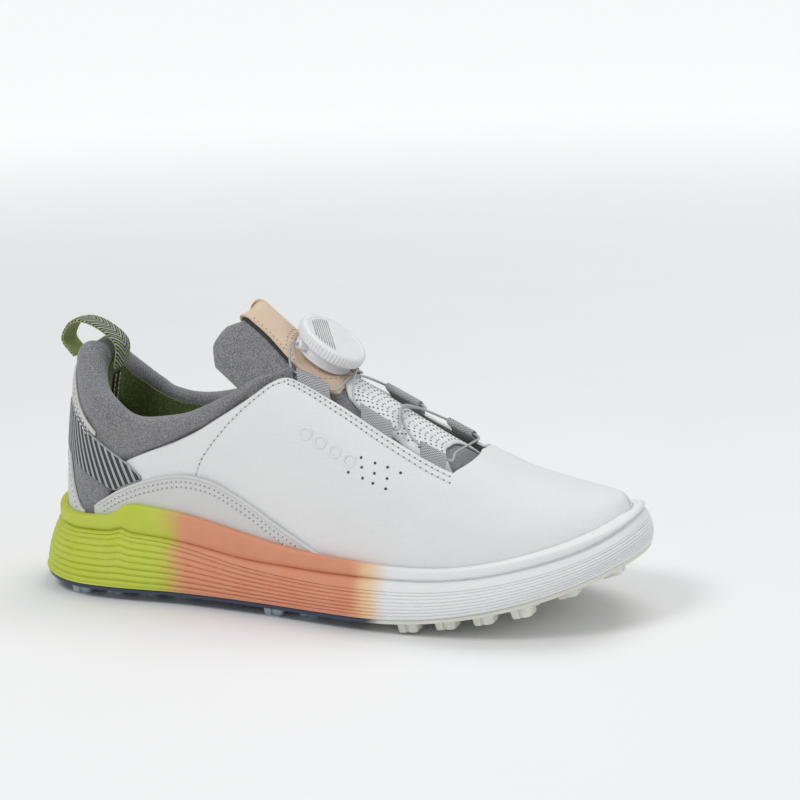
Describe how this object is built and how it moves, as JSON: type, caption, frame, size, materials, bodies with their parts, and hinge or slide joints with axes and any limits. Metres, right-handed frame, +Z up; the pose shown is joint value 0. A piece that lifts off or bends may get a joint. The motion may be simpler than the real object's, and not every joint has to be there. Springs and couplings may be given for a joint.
{
  "type": "golf shoe",
  "caption": "Low-cut spikeless golf shoe for the right foot with a lugged sole, foam cup midsole, padded knit collar and tongue, and a dial that winds one lace.",
  "frame": {"origin": "on the ground under the middle of the shoe's box", "axes": "+X towards the toe, +Z up, the lateral side of this right shoe faces -Y"},
  "size_m": [0.2756, 0.0998, 0.127],
  "materials": {
    "outsole_rubber": "matte, translucent ivory at the forefoot",
    "midsole_foam": "smooth moulded foam, lime at the heel, coral in the middle, white at the toe",
    "shank_plastic": "matte",
    "fibre_board": "pressed fibre",
    "footbed_textile": "brushed textile over foam",
    "white_leather": "soft grained",
    "grey_leather": "soft grained",
    "tan_leather": "vegetable-tanned, smooth",
    "heather_knit": "heather jersey",
    "green_lining": "heather mesh",
    "stiffener_sheet": "matte",
    "striped_elastic": "black elastic with silver stripes",
    "striped_webbing": "black webbing with grey and lime stripes",
    "seam_tape": "woven",
    "guide_webbing": "grey and white herringbone",
    "lace_cord": "braided",
    "white_nylon": "satin",
    "dark_nylon": "satin",
    "screw_steel": "bright"
  },
  "bodies": {
    "shoe": {"outsole": "outsole_rubber", "midsole": "midsole_foam", "shank": "shank_plastic", "lasting_board": "fibre_board", "insole": "footbed_textile", "vamp": "white_leather", "foxing_lateral": "grey_leather", "foxing_medial": "grey_leather", "heel_counter": "grey_leather", "heel_strap": "striped_elastic", "heel_tab": "grey_leather", "toe_puff": "stiffener_sheet", "heel_stiffener": "stiffener_sheet", "bootie_lining": "green_lining", "collar": "heather_knit", "tongue": "heather_knit", "tongue_overlay": "white_leather", "lace_guide_lateral_1": "guide_webbing", "lace_guide_lateral_2": "guide_webbing", "lace_guide_lateral_3": "guide_webbing", "lace_guide_medial_1": "guide_webbing", "lace_guide_medial_2": "guide_webbing", "lace_guide_medial_3": "guide_webbing", "lace": "lace_cord", "heel_seam_tape": "seam_tape"},
    "tongue_top": {"tongue_patch": "tan_leather", "dial_base": "white_nylon", "dial_screw": "screw_steel"},
    "dial_drive": {"drive_disc": "dark_nylon"},
    "knob": {"dial_knob": "white_nylon"},
    "lace_spool": {"spool": "dark_nylon"},
    "heel_loop": {"pull_loop": "striped_webbing"}
  },
  "joints": [
    {"name": "tongue_fold", "type": "hinge", "parent": "shoe", "child": "tongue_top", "pos_m": [0.0176, 0, 0.088], "axis": [0, 1, 0], "range_deg": [0, 12], "stiffness_Nm_per_rad": 0.05, "deforming": ["tongue", "lace"]},
    {"name": "dial_turn", "type": "hinge", "parent": "tongue_top", "child": "dial_drive", "pos_m": [-0.00337, 0.00059, 0.10415], "axis": [0.5954, 0, 0.8034], "continuous": true},
    {"name": "spool_turn", "type": "hinge", "parent": "tongue_top", "child": "lace_spool", "pos_m": [-0.00337, 0.00059, 0.10415], "axis": [0.5954, 0, 0.8034], "continuous": true},
    {"name": "knob_pop", "type": "slide", "parent": "dial_drive", "child": "knob", "axis": [0.5954, 0, 0.8034], "range_m": [0, 0.002]},
    {"name": "loop_flex", "type": "hinge", "parent": "shoe", "child": "heel_loop", "pos_m": [-0.112, 0, 0.099], "axis": [0, 1, 0], "range_deg": [-10, 10], "stiffness_Nm_per_rad": 0.02}
  ],
  "couplings": [
    {"joint": "spool_turn", "follows": "dial_turn", "ratio": 1}
  ]
}
